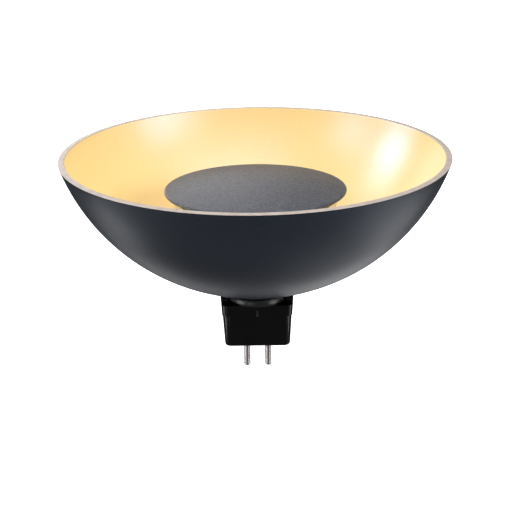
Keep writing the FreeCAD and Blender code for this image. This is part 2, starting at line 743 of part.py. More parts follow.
def make_stem_post():
    """The turned hollow post: a foot, a plain shank, screw holes in both ends and two ports for the leads."""
    body = new_body("stem_post")
    foot_top = post_foot_height + s["post_foot_wall"]
    points = [
        (s["wire_hole"], post_foot_height),
        (s["post_foot"], post_foot_height),
        (s["post_foot"], foot_top),
        (s["post_radius"], foot_top),
        (s["post_radius"], spreader_foot),
        (s["wire_hole"], spreader_foot),
    ]
    revolve(body, "shank", points)
    depth = s["grip"] + s["grip_spare"]
    drill(body, "lower_threads", stem_places(), threaded_hole, post_foot_height, depth)
    upper = [on_circle(s["post_screw_circle"], angle) for angle in ROUND_ANGLES]
    drill(body, "upper_threads", upper, threaded_hole, spreader_foot - depth, depth)
    ports = new_sketch(body, "port_outline", "YZ_Plane", offset=-s["post_radius"] - EXTRA)
    draw_circle(ports, 0, lead_height, s["port_radius"])
    cut(body, "ports", ports, (s["post_radius"] + EXTRA) * 2, backwards=True)


def make_heat_spreader():
    """The round aluminium plate that the light board is screwed to."""
    body = new_body("heat_spreader")
    sketch = new_sketch(body, "outline", offset=spreader_foot)
    draw_circle(sketch, 0, 0, s["spreader_radius"])
    pad(body, "plate", sketch, s["spreader_wall"])
    rings = (
        ("post_holes", s["post_screw_circle"], plain_hole),
        ("board_threads", s["board_screw_circle"], threaded_hole),
        ("cap_holes", s["cap_screw_circle"], plain_hole),
    )
    for name, circle, radius in rings:
        places = [on_circle(circle, angle) for angle in ROUND_ANGLES]
        drill(body, name, places, radius, spreader_foot, s["spreader_wall"])


def make_ring_plate(label, foot, thickness):
    """A flat ring with the light board's outline and screw holes."""
    body = new_body(label)
    sketch = new_sketch(body, "outline", offset=foot)
    draw_circle(sketch, 0, 0, s["board_outer"])
    draw_circle(sketch, 0, 0, s["board_inner"])
    for angle in ROUND_ANGLES:
        draw_circle(sketch, *on_circle(s["board_screw_circle"], angle), plain_hole)
    pad(body, "plate", sketch, thickness)


def make_led_chips():
    """The ring of light chips under the light board."""
    body = new_body("led_chips")
    sketch = new_sketch(body, "outline", offset=chip_foot)
    half_width = s["chip_width"] / 2
    near = s["chip_circle"] - s["chip_depth"] / 2
    far = s["chip_circle"] + s["chip_depth"] / 2
    draw_rectangle(sketch, near, -half_width, far, half_width)
    chip = pad(body, "chip", sketch, s["chip_height"])
    repeat(body, [chip], s["chip_count"])


def make_diffuser_ring():
    """The frosted cover under the light chips, with three ears that the cap's screws clamp."""
    body = new_body("diffuser_ring")
    inner = s["post_radius"] + s["spigot_play"] * 2
    wall_inner = s["diffuser_radius"] - s["diffuser_wall"]
    points = [
        (inner, diffuser_foot),
        (s["diffuser_radius"], diffuser_foot),
        (s["diffuser_radius"], spreader_foot),
        (wall_inner, spreader_foot),
        (wall_inner, diffuser_top),
        (inner, diffuser_top),
    ]
    revolve(body, "trough", points)
    ears = new_sketch(body, "ear_outline", offset=ear_foot)
    root = wall_inner + s["diffuser_wall"] / 2
    reach = s["cap_screw_circle"]
    half = s["ear_radius"]
    arcs = {1: Arc(half, reach, 0)}
    draw_path(ears, [(root, -half), (reach, -half), (reach, half), (root, half)], arcs)
    draw_circle(ears, reach, 0, plain_hole)
    ear = pad(body, "ear", ears, s["diffuser_wall"])
    repeat(body, [ear], len(ROUND_ANGLES))
    turn_body(body, ROUND_ANGLES[0])


def make_glare_cap():
    """The shallow domed cap with a fully rounded edge and three threaded bosses underneath."""
    body = new_body("glare_cap")
    edge_radius = s["cap_radius"] - cap_half_wall
    dome_radius = (edge_radius * edge_radius + s["cap_rise"] * s["cap_rise"]) / (s["cap_rise"] * 2)
    upper_edge = cap_edge + cap_half_wall
    lower_edge = cap_edge - cap_half_wall
    upper_middle = upper_edge + s["cap_rise"]
    lower_middle = lower_edge + s["cap_rise"]
    points = [
        (0, lower_middle),
        (edge_radius, lower_edge),
        (edge_radius, upper_edge),
        (0, upper_middle),
    ]
    arcs = {
        0: Arc(dome_radius, 0, lower_middle - dome_radius, anticlockwise=False),
        1: Arc(cap_half_wall, edge_radius, cap_edge),
        2: Arc(dome_radius, 0, upper_middle - dome_radius),
    }
    revolve(body, "dome", points, arcs)
    sketch = new_sketch(body, "boss_outline", offset=spreader_top)
    draw_circle(sketch, s["cap_screw_circle"], 0, s["boss_radius"])
    boss = pad(body, "boss", sketch, cap_edge - spreader_top + cap_half_wall / 2)
    hole = new_sketch(body, "thread_outline", offset=spreader_top)
    draw_circle(hole, s["cap_screw_circle"], 0, threaded_hole)
    thread = cut(body, "thread", hole, s["boss_thread"], backwards=True)
    repeat(body, [boss, thread], len(ROUND_ANGLES))
    turn_body(body, ROUND_ANGLES[0])


def make_screws(label, circle, seat, length, angles, pointing_up):
    """A ring of pan-head screws: the head's flat lies at the height seat, and the thread leaves it."""
    body = new_body(label)
    way = 1 if pointing_up else -1
    crown = s["head_radius"] / 3
    head_end = seat - way * s["head_height"]
    thread_end = seat + way * length
    points = [
        (circle, head_end),
        (circle + s["head_radius"] - crown, head_end),
        (circle + s["head_radius"], seat - way * (s["head_height"] - crown)),
        (circle + s["head_radius"], seat),
        (circle + s["screw_radius"], seat),
        (circle + s["screw_radius"], thread_end),
        (circle, thread_end),
    ]
    sketch = new_sketch(body, "profile", "XZ_Plane")
    draw_path(sketch, points)
    screw = body.newObject("PartDesign::Revolution", label + "_screw")
    screw.Profile = sketch
    screw.ReferenceAxis = (sketch, ["Edge%d" % len(points)])
    screw.Angle = 360
    doc.recompute()
    cross = new_sketch(body, "recess_outline", offset=head_end)
    wide = s["recess_width"] / 2
    long = s["head_radius"] / 2
    arms = [
        (-wide, -long), (wide, -long), (wide, -wide), (long, -wide), (long, wide), (wide, wide),
        (wide, long), (-wide, long), (-wide, wide), (-long, wide), (-long, -wide), (-wide, -wide),
    ]
    draw_path(cross, [(circle + x, y) for x, y in arms])
    recess = cut(body, "recess", cross, s["recess_depth"], backwards=pointing_up)
    repeat(body, [screw, recess], len(angles))
    turn_body(body, angles[0])


def make_led_lead(label, side):
    """An insulated lead: up from the driver board through the post, then out to the light board."""
    body = new_body(label)
    spine = new_sketch(body, "route", "XZ_Plane")
    bend = s["lead_bend"]
    rise = side * s["lead_offset"]
    turned = side * (s["lead_offset"] + bend)
    points = [
        (rise, s["lead_foot"]),
        (rise, lead_height - bend),
        (turned, lead_height),
        (side * s["lead_reach"], lead_height),
    ]
    arcs = {1: Arc(bend, turned, lead_height - bend, anticlockwise=side < 0)}
    draw_path(spine, points, arcs, closed=False)
    section = new_sketch(body, "section", offset=s["lead_foot"])
    draw_circle(section, rise, 0, s["lead_radius"])
    sweep = body.newObject("PartDesign::AdditivePipe", label + "_sweep")
    sweep.Profile = section
    sweep.Spine = (spine, ["Edge1", "Edge2", "Edge3"])
    doc.recompute()
    straight = lead_height.value - bend.value - s["lead_foot"].value
    across = s["lead_reach"].value - s["lead_offset"].value - bend.value
    length = straight + across + bend.value * math.pi / 2
    expected = math.pi * s["lead_radius"].value ** 2 * length
    if abs(sweep.Shape.Volume / expected - 1) > 0.01:
        raise RuntimeError("%s has volume %.3f, not %.3f" % (label, sweep.Shape.Volume, expected))
    print("%s: length %.1f, bend radius %.1f" % (label, length, bend.value))


def make_all_board_parts():
    """The driver board and everything on it."""
    make_driver_board()
    make_board_parts("bridge_rectifier", "rectifier", [(s["rectifier_x"], s["rectifier_z"])])
    make_driver_chip()
    make_power_inductor()
    make_smoothing_capacitor()
    make_board_parts("catch_diode", "diode", [(s["diode_x"], s["diode_z"])], front=False)
    row = s["chip_row"]
    capacitors = [(-s["ceramic_x"], row), (s["ceramic_x"], row), (0, s["ceramic_upper_z"])]
    make_board_parts("chip_capacitors", "ceramic", capacitors)
    resistors = [(side * s[name], row) for side in (-1, 1) for name in ("resistor_near", "resistor_far")]
    make_board_parts("chip_resistors", "resistor", resistors)


def make_all_screws():
    """The four rings of screws."""
    stem_length = post_foot_height - roof_foot + s["grip"]
    make_screws("stem_screws", s["post_screw_circle"], roof_foot, stem_length, STEM_ANGLES, pointing_up=True)
    post_length = s["spreader_wall"] + s["grip"]
    circle = s["post_screw_circle"]
    make_screws("spreader_screws", circle, spreader_top, post_length, ROUND_ANGLES, pointing_up=False)
    board_length = spreader_top - board_foot - s["thread_play"]
    circle = s["board_screw_circle"]
    make_screws("board_screws", circle, board_foot, board_length, ROUND_ANGLES, pointing_up=True)
    cap_length = s["diffuser_wall"] + s["spreader_wall"] + s["boss_grip"]
    make_screws("cap_screws", s["cap_screw_circle"], ear_foot, cap_length, ROUND_ANGLES, pointing_up=True)


def make_all():
    """Builds every sub-part."""
    make_reflector_bowl()
    make_neck_collar()
    make_driver_housing()
    make_base_cap()
    make_contact_pin("contact_pin_left", -1)
    make_contact_pin("contact_pin_right", 1)
    make_all_board_parts()
    make_lead_grommet()
    make_stem_gasket()
    make_stem_post()
    make_heat_spreader()
    make_ring_plate("thermal_sheet", board_top, s["sheet_wall"])
    make_ring_plate("led_board", board_foot, s["board_wall"])
    make_led_chips()
    make_diffuser_ring()
    make_glare_cap()
    make_all_screws()
    make_led_lead("led_lead_positive", 1)
    make_led_lead("led_lead_negative", -1)


def check_document():
    """Stops if any object of the document failed or any body has no sound shape."""
    for item in doc.Objects:
        if "Invalid" in item.State or "Error" in item.State:
            raise RuntimeError("%s is %s" % (item.Label, item.State))
    for body in bodies():
        if body.Shape.isNull() or not body.Shape.isValid() or not body.Shape.Solids:
            raise RuntimeError("%s has no valid shape" % body.Label)


def bodies():
    """Every sub-part of the lamp."""
    return [item for item in doc.Objects if item.TypeId == "PartDesign::Body"]


def write_parts():
    """Writes each sub-part to its own file and prints what it holds."""
    os.makedirs("parts", exist_ok=True)
    for body in bodies():
        body.Shape.exportStep("parts/%s.step" % body.Label)
        print("%-22s solids %2d  volume %9.2f" % (body.Label, len(body.Shape.Solids), body.Shape.Volume))


make_all()
doc.recompute()
check_document()
write_parts()
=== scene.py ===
"""The looks of the reflector lamp: its visible pieces, their finishes, the studio and the camera. Metres."""

import math

import bpy
from mathutils import Matrix, Vector


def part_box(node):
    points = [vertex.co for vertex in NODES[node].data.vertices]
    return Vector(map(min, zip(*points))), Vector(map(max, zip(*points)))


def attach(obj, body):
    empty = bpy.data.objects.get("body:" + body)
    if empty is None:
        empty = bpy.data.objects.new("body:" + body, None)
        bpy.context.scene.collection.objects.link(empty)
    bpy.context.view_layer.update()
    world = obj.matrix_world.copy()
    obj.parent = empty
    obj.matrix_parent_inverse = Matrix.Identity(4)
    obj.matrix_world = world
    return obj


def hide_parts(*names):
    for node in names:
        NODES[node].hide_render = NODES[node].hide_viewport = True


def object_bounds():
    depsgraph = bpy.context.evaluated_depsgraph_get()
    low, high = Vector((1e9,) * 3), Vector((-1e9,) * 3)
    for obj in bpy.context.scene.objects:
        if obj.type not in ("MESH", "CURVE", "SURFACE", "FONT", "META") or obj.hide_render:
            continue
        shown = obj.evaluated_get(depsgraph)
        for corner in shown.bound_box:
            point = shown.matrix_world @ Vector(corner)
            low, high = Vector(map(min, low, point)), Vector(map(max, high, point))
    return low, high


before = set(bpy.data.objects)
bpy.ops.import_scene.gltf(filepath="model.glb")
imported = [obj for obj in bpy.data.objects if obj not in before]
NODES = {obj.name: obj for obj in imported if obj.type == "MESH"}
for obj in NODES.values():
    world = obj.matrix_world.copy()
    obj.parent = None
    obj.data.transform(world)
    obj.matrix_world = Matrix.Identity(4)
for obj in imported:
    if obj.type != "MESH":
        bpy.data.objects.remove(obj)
CAD_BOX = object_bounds()
MM = 0.001

# Sizes that the frame's boxes don't give, as the lamp's own dimensions.
BOWL_SPHERE = 52.85 * MM
BOWL_WALL = 1.6 * MM
BOWL_RIM = 49.5 * MM
RIM_BEVEL = 0.2 * MM
WIRE_HOLE = 3.2 * MM
CAP_RADIUS = 22.92 * MM
CAP_WALL = 0.8 * MM
CAP_RISE = 1.0 * MM
BOSS_CIRCLE = 18.8 * MM
BOSS_RADIUS = 1.9 * MM
THREAD_RADIUS = 1.02 * MM
COLLAR_BORE = 3.4 * MM
COLLAR_LOWER = 7.9 * MM
COLLAR_UPPER = 8.1 * MM
SHELL_WALL = 1.2 * MM
CORNER = 1.5 * MM
BASE_FOOT = (8.16 * MM, 5.6 * MM)
HOUSING_FOOT = (8.85 * MM, 6.42 * MM)
SADDLE = 7.3 * MM
CHEEK_HALF_DEPTH = 4.4 * MM
BASE_FLOOR = 1.5 * MM
BASE_EDGE = 0.7 * MM
PIN_RADIUS = 0.775 * MM
PIN_ROOT = 1.05 * MM
PIN_CHAMFER = 0.25 * MM
PIN_FLANGE = 1.3 * MM
PIN_FLANGE_WALL = 0.6 * MM
PIN_TAIL = 0.5 * MM
RIB_WIDTH = 0.5 * MM
RIB_HEIGHT = 1.7 * MM
RIB_DEPTH = 0.3 * MM  # into the housing's wall, and out of it
RIB_FOOT = 0.1 * MM
RIB_TIP_SHARE = 1 / 3  # the rib's width at its top, as a share of its foot
PLAY = 0.05 * MM  # between moulded pieces that slide together
PIN_PLAY = 0.02 * MM
BOSS_ANGLES = (90, 210, 330)
ROUND_STEPS = 192  # faces round a turned piece
ON_AXIS = 1e-9  # a smaller radius counts as the axis
CORNER_SHARE = 0.45  # the most of an edge that a rounded corner takes
SHARP_ANGLE = 35  # degrees between two faces, from which their edge is softened

# The studio: how brightly things glow, and where its lights stand.
WORLD_GLOW = 0.34
DARK_GLOW = 0.03
DARK_SIDE = (0.0, 0.956, -0.292)  # low behind the lamp, where the studio is dark
DARK_RANGE = (0.2, 0.75)  # cosines to the dark side between which the world's glow falls
FLOOR_GLOW = 1.0
LAMP_GLOW = 0.6  # the diffuser and the light chips
FLOOR_HALF = 3.0
LIGHT_DISTANCE = 0.8
LIGHT_AIM = (0, 0, 30 * MM)


# ---------------------------------------------------------------- mesh helpers

def new_mesh(name, points, faces, materials, face_materials=None):
    """A mesh object at the origin, smooth, with its finishes."""
    mesh = bpy.data.meshes.new(name)
    mesh.from_pydata(points, [], faces)
    mesh.validate()
    for finish in materials:
        mesh.materials.append(finish)
    mesh.polygons.foreach_set("use_smooth", [True] * len(mesh.polygons))
    if face_materials:
        mesh.polygons.foreach_set("material_index", face_materials)
    mesh.update()
    piece = bpy.data.objects.new(name, mesh)
    bpy.context.scene.collection.objects.link(piece)
    return piece


def arc(centre_r, centre_z, radius, start, end, steps):
    """Points of an arc in the (radius, height) plane, from the angle start to end in degrees."""
    points = []
    for i in range(steps + 1):
        angle = math.radians(start + (end - start) * i / steps)
        points.append((centre_r + radius * math.cos(angle), centre_z + radius * math.sin(angle)))
    return points


def bend(before, corner, after, steps=4):
    """Points of a smooth curve from one point to another that turns towards a corner between them."""
    start, middle, end = Vector(before), Vector(corner), Vector(after)
    return [
        tuple(start * (1 - t) ** 2 + middle * 2 * t * (1 - t) + end * t ** 2)
        for t in (k / steps for k in range(steps + 1))
    ]


def softened(corners, radius):
    """A closed outline with each corner rounded by about the radius, or less where an edge is short."""
    points = []
    count = len(corners)
    for i in range(count):
        before, corner, after = (Vector(corners[(i + k) % count]) for k in (-1, 0, 1))
        if corner.x < ON_AXIS:
            points.append(tuple(corner))
            continue
        back, ahead = before - corner, after - corner
        half_turn = back.angle(ahead) / 2
        longest = min(back.length, ahead.length) * CORNER_SHARE
        reach = min(radius / math.tan(half_turn), longest)
        points += bend(corner + back.normalized() * reach, corner, corner + ahead.normalized() * reach)
    return points


def lathe(name, profile, materials, bands=None, steps=ROUND_STEPS, axis=(0, 0)):
    """Turns a closed (radius, height) outline round an upright axis; bands gives each edge's finish."""
    points, rows = [], []
    for radius, height in profile:
        if radius < ON_AXIS:
            rows.append([len(points)] * steps)
            points.append((axis[0], axis[1], height))
            continue
        rows.append(list(range(len(points), len(points) + steps)))
        for k in range(steps):
            angle = 2 * math.pi * k / steps
            x, y = radius * math.cos(angle), radius * math.sin(angle)
            points.append((axis[0] + x, axis[1] + y, height))
    faces, face_materials = [], []
    count = len(profile)
    for i in range(count):
        low, high = rows[i], rows[(i + 1) % count]
        if low[0] == low[1] and high[0] == high[1]:
            continue
        for k in range(steps):
            following = (k + 1) % steps
            ring = [low[k], low[following], high[following], high[k]]
            faces.append([p for j, p in enumerate(ring) if p != ring[j - 1]])
            face_materials.append(bands[i] if bands else 0)
    return new_mesh(name, points, faces, materials, face_materials)


def rounded_loop(half_x, half_y, corner, height, steps=10):
    """An upright box's outline at one height, with round corners."""
    loop = []
    for quarter, (sign_x, sign_y) in enumerate(((1, 1), (-1, 1), (-1, -1), (1, -1))):
        for k in range(steps + 1):
            angle = math.pi / 2 * (quarter + k / steps)
            x = sign_x * (half_x - corner) + corner * math.cos(angle)
            y = sign_y * (half_y - corner) + corner * math.sin(angle)
            loop.append((x, y, height))
    return loop


def loft(name, loops, materials):
    """A closed solid through loops of equal length, with a flat face at each end."""
    points = [point for loop in loops for point in loop]
    count = len(loops[0])
    faces = [list(range(count))[::-1]]
    for row in range(len(loops) - 1):
        base = row * count
        for k in range(count):
            following = (k + 1) % count
            faces.append([base + k, base + following, base + count + following, base + count + k])
    last = (len(loops) - 1) * count
    faces.append(list(range(last, last + count)))
    return new_mesh(name, points, faces, materials)


def block(name, low, high, finish):
    """A plain box between two corners, for cutting."""
    corners = [(low[0], low[1]), (high[0], low[1]), (high[0], high[1]), (low[0], high[1])]
    loops = [[(x, y, height) for x, y in corners] for height in (low[2], high[2])]
    return loft(name, loops, [finish])


def apply_modifiers(piece):
    """Makes the piece's modifiers part of its mesh."""
    graph = bpy.context.evaluated_depsgraph_get()
    graph.update()
    mesh = bpy.data.meshes.new_from_object(piece.evaluated_get(graph))
    piece.modifiers.clear()
    piece.data = mesh


def cut_out(piece, tool):
    """Cuts a tool out of a piece, and deletes the tool."""
    boolean = piece.modifiers.new("boolean", "BOOLEAN")
    boolean.operation = "DIFFERENCE"
    boolean.solver = "EXACT"
    boolean.object = tool
    apply_modifiers(piece)
    bpy.data.objects.remove(tool)


def soften_edges(piece, width):
    """Rounds every sharp edge a little, and keeps the flat faces' shading flat."""
    bevel = piece.modifiers.new("bevel", "BEVEL")
    bevel.width = width
    bevel.segments = 3
    bevel.limit_method = "ANGLE"
    bevel.angle_limit = math.radians(SHARP_ANGLE)
    bevel.harden_normals = True
    apply_modifiers(piece)


def place(piece, slot, *replaced):
    """Puts a finished piece on the lamp's body in place of its CAD nodes."""
    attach(piece, "root")
    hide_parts(*replaced)


# ---------------------------------------------------------------- finishes

class Finish:
    """A node material round one Principled shader, with textures in real lengths."""

    def __init__(self, name, **values):
        self.material = bpy.data.materials.new(name)
        self.material.use_nodes = True
        self.tree = self.material.node_tree
        self.shader = next(n for n in self.tree.nodes if n.type == "BSDF_PRINCIPLED")
        self.coordinates = self.tree.nodes.new("ShaderNodeTexCoord").outputs["Object"]
        for socket, value in values.items():
            self.shader.inputs[socket.replace("_", " ")].default_value = value

    def link(self, source, target):
        """Joins an output socket to an input socket."""
        self.tree.links.new(source, target)

    def stretched(self, x=1.0, y=1.0, z=1.0):
        """The coordinates, multiplied along each axis."""
        mapping = self.tree.nodes.new("ShaderNodeMapping")
        mapping.inputs["Scale"].default_value = (x, y, z)
        self.link(self.coordinates, mapping.inputs["Vector"])
        return mapping.outputs["Vector"]

    def noise(self, size, detail=2.0, roughness=0.5, vector=None):
        """Noise whose lumps are about size across, in metres."""
        node = self.tree.nodes.new("ShaderNodeTexNoise")
        node.inputs["Scale"].default_value = 1 / size
        node.inputs["Detail"].default_value = detail
        node.inputs["Roughness"].default_value = roughness
        self.link(vector or self.coordinates, node.inputs["Vector"])
        return node.outputs["Fac"]

    def cells(self, size, feature="F1", output="Distance"):
        """Cells about size across, in metres."""
        node = self.tree.nodes.new("ShaderNodeTexVoronoi")
        node.feature = feature
        node.inputs["Scale"].default_value = 1 / size
        self.link(self.coordinates, node.inputs["Vector"])
        return node.outputs[output]

    def span(self, source, low, high, from_low=0.35, from_high=0.65):
        """A number that runs from low to high as the source does from from_low to from_high."""
        node = self.tree.nodes.new("ShaderNodeMapRange")
        node.inputs["From Min"].default_value = from_low
        node.inputs["From Max"].default_value = from_high
        node.inputs["To Min"].default_value = low
        node.inputs["To Max"].default_value = high
        self.link(source, node.inputs["Value"])
        return node.outputs["Result"]

    def blend(self, source, *stops):
        """A colour that runs between two (place, colour) stops."""
        node = self.tree.nodes.new("ShaderNodeValToRGB")
        elements = node.color_ramp.elements
        for element, (position, colour) in zip(elements, stops):
            element.position = position
            element.color = (*colour, 1)
        self.link(source, node.inputs["Fac"])
        return node.outputs["Color"]

    def product(self, first, second):
        """Two sources multiplied."""
        node = self.tree.nodes.new("ShaderNodeMath")
        node.operation = "MULTIPLY"
        self.link(first, node.inputs[0])
        self.link(second, node.inputs[1])
        return node.outputs["Value"]

    def bump(self, *layers):
        """Bumps from (height source, height in metres, strength) layers."""
        normal = None
        for source, distance, strength in layers:
            node = self.tree.nodes.new("ShaderNodeBump")
            node.inputs["Distance"].default_value = distance
            node.inputs["Strength"].default_value = strength
            self.link(source, node.inputs["Height"])
            if normal:
                self.link(normal, node.inputs["Normal"])
            normal = node.outputs["Normal"]
        self.link(normal, self.shader.inputs["Normal"])

    def feed(self, socket, source):
        """Feeds a socket of the shader."""
        self.link(source, self.shader.inputs[socket])


def powder_black():
    """Fine black powder coat on the bowl's outside."""
    look = Finish("bowl_powder_coat", Specular_IOR_Level=0.36, Specular_Tint=(0.66, 0.78, 1.0, 1))
    grain = look.noise(0.35 * MM, detail=3)
    peel = look.noise(1.6 * MM, detail=1)
    tone = look.blend(grain, (0.3, (0.006, 0.0078, 0.0118)), (0.7, (0.013, 0.016, 0.0225)))
    look.feed("Base Color", tone)
    look.feed("Roughness", look.span(grain, 0.36, 0.44))
    look.bump((grain, 0.035 * MM, 0.4), (peel, 0.02 * MM, 0.2))
    return look.material


def gold_lacquer():
    """Satin pale gold on the bowl's inside."""
    look = Finish(
        "bowl_gold_lacquer", Specular_IOR_Level=1.0, IOR=1.7,
        Specular_Tint=(0.35, 0.52, 1.0, 1),
    )
    grain = look.noise(0.3 * MM, detail=3)
    look.feed("Base Color", look.blend(grain, (0.35, (0.94, 0.68, 0.25)), (0.65, (0.98, 0.72, 0.28))))
    look.feed("Roughness", look.span(grain, 0.33, 0.35))
    look.bump((grain, 0.006 * MM, 0.2))
    return look.material


def bare_rim():
    """The cut edge of the bowl: bare metal with turning marks."""
    look = Finish("bowl_cut_rim", Metallic=0.45)
    marks = look.noise(0.5 * MM, detail=4, vector=look.stretched(1, 1, 6))
    stain = look.noise(3 * MM, detail=3)
    look.feed("Base Color", look.blend(stain, (0.3, (0.43, 0.365, 0.32)), (0.7, (0.54, 0.465, 0.415))))
    look.feed("Roughness", look.span(marks, 0.46, 0.58))
    look.bump((marks, 0.03 * MM, 0.3))
    return look.material


def cap_powder():
    """Dark grey powder coat with a fine sparkle on the cap."""
    look = Finish("cap_powder_coat", Specular_IOR_Level=0.8, Specular_Tint=(0.7, 0.76, 1.0, 1))
    grain = look.noise(0.45 * MM, detail=4, roughness=0.7)
    flakes = look.cells(0.35 * MM, output="Color")
    speck = look.product(look.span(flakes, 0, 1, 0.3, 0.8), look.span(grain, 0, 1, 0.4, 0.62))
    look.feed("Base Color", look.blend(speck, (0.0, (0.014, 0.0155, 0.02)), (1.0, (0.12, 0.125, 0.145))))
    look.feed("Roughness", look.span(grain, 0.32, 0.46))
    look.bump((grain, 0.1 * MM, 0.6))
    return look.material


def gloss_black():
    """Polished black moulding: the neck collar and the rib on the base."""
    look = Finish("collar_gloss_black", Base_Color=(0.002, 0.002, 0.0025, 1), Specular_IOR_Level=0.4)
    smear = look.noise(2.5 * MM, detail=3)
    look.feed("Roughness", look.span(smear, 0.24, 0.34))
    look.bump((smear, 0.02 * MM, 0.1))
    return look.material


def satin_black():
    """Spark-textured black moulding: the two halves of the base."""
    look = Finish("base_satin_black", Specular_IOR_Level=0.14)
    grain = look.noise(0.22 * MM, detail=3)
    flow = look.noise(6 * MM, detail=2)
    tone = look.blend(flow, (0.35, (0.001, 0.001, 0.001)), (0.65, (0.0018, 0.0017, 0.0017)))
    look.feed("Base Color", tone)
    look.feed("Roughness", look.span(grain, 0.11, 0.16))
    look.bump((grain, 0.008 * MM, 0.3))
    return look.material


def nickel():
    """Dull nickel plating with drawn lines, on the contact pins."""
    look = Finish("pin_nickel", Metallic=1.0)
    lines = look.noise(0.12 * MM, detail=3, vector=look.stretched(1, 1, 0.05))
    tone = look.noise(0.8 * MM, detail=2)
    look.feed("Base Color", look.blend(tone, (0.3, (0.2, 0.187, 0.184)), (0.7, (0.28, 0.264, 0.26))))
    look.feed("Roughness", look.span(lines, 0.2, 0.32))
    look.bump((lines, 0.003 * MM, 0.2))
    return look.material


def turned_aluminium():
    """Turned aluminium with fine rings."""
    look = Finish("turned_aluminium", Metallic=1.0)
    rings = look.noise(0.2 * MM, detail=4, vector=look.stretched(0.05, 0.05, 1))
    tone = look.noise(2 * MM, detail=2)
    look.feed("Base Color", look.blend(tone, (0.3, (0.62, 0.62, 0.63)), (0.7, (0.76, 0.76, 0.77))))
    look.feed("Roughness", look.span(rings, 0.26, 0.42))
    look.bump((rings, 0.01 * MM, 0.25))
    return look.material


def screw_steel():
    """Zinc-plated steel."""
    look = Finish("screw_zinc", Metallic=1.0)
    tone = look.noise(0.4 * MM, detail=3)
    look.feed("Base Color", look.blend(tone, (0.3, (0.46, 0.47, 0.5)), (0.7, (0.66, 0.66, 0.68))))
    look.feed("Roughness", look.span(tone, 0.22, 0.4))
    look.bump((tone, 0.01 * MM, 0.2))
    return look.material


def frosted_plastic():
    """Frosted diffuser, warm white, with a faint glow."""
    look = Finish(
        "diffuser_frosted", Specular_IOR_Level=0.4, Subsurface_Weight=0.3,
        Emission_Strength=LAMP_GLOW,
    )
    frost = look.noise(0.3 * MM, detail=3)
    look.feed("Base Color", look.blend(frost, (0.3, (0.86, 0.8, 0.68)), (0.7, (0.93, 0.88, 0.77))))
    look.feed("Emission Color", look.blend(frost, (0.3, (0.9, 0.86, 0.8)), (0.7, (1.0, 0.95, 0.88))))
    look.feed("Roughness", look.span(frost, 0.45, 0.6))
    look.bump((frost, 0.02 * MM, 0.3))
    return look.material


def moulded(name, dark, light, rough_low, rough_high, size=0.4, height=0.01, **values):
    """A plain moulded, pressed or drawn finish with mottled tone, roughness and fine relief."""
    look = Finish(name, **values)
    mottle = look.noise(size * MM, detail=3)
    look.feed("Base Color", look.blend(mottle, (0.3, dark), (0.7, light)))
    look.feed("Roughness", look.span(mottle, rough_low, rough_high))
    look.bump((mottle, height * MM, 0.3))
    return look.material


def circuit_board(name, mask, track, size):
    """Solder mask over printed tracks that show through a little."""
    look = Finish(name, Specular_IOR_Level=0.5, Coat_Weight=0.3, Coat_Roughness=0.12)
    tracks = look.cells(size * MM, feature="DISTANCE_TO_EDGE")
    weave = look.noise(0.25 * MM, detail=2)
    look.feed("Base Color", look.blend(tracks, (0.04, mask), (0.08, track)))
    look.feed("Roughness", look.span(weave, 0.22, 0.38))
    look.bump((look.span(tracks, 0, 1, 0.04, 0.08), 0.03 * MM, 0.4), (weave, 0.008 * MM, 0.2))
    return look.material


# ---------------------------------------------------------------- pieces

def make_bowl(outside, inside, rim):
    """The spun bowl as one closed shell: coat outside, lacquer inside, bare metal on the cut rim."""
    low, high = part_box("reflector_bowl")
    seat = low.z
    rim_inner = high.z
    rim_outer = rim_inner - RIM_BEVEL
    middle = rim_outer + math.sqrt(BOWL_SPHERE ** 2 - BOWL_RIM ** 2)
    inner_sphere = BOWL_SPHERE - BOWL_WALL
    floor = seat + BOWL_WALL
    steps = 72
    edge = 0.14 * MM  # how far the rim's roundings reach

    def angle_at(radius, height):
        """The angle, in degrees, at which a sphere of the radius reaches a height."""
        return math.degrees(-math.asin((middle - height) / radius))

    def wall(radius, start, end):
        """The side of the bowl between two heights, on a sphere of the radius."""
        return arc(0, middle, radius, angle_at(radius, start), angle_at(radius, end), steps)

    outer = wall(BOWL_SPHERE, seat, rim_outer - edge)
    inner = wall(inner_sphere, rim_inner - edge, floor)
    outer_corner = Vector((BOWL_RIM, rim_outer))
    inner_corner = Vector((math.sqrt(inner_sphere ** 2 - (middle - rim_inner) ** 2), rim_inner))
    across = (inner_corner - outer_corner).normalized() * edge
    face_start, face_end = outer_corner + across, inner_corner - across
    face_steps = 6
    face = [tuple(face_start.lerp(face_end, k / face_steps)) for k in range(face_steps + 1)]
    floor_edge = [(WIRE_HOLE, floor), (WIRE_HOLE, seat)]
    coat, lacquer, bare = 0, 1, 2
    sections = [
        (outer, coat),
        (bend(outer[-1], outer_corner, face_start)[1:-1], bare),
        (face, bare),
        (bend(face_end, inner_corner, inner[0])[1:-1], bare),
        (inner, lacquer),
        (floor_edge, lacquer),
    ]
    profile, bands = [], []
    for points, band in sections:
        profile += points
        bands += [band] * len(points)
    bands[-1] = coat  # the last edge runs along the seat, outside
    piece = lathe("bowl", profile, [outside, inside, rim], bands, steps=320)
    place(piece, "bowl_paint", "reflector_bowl")


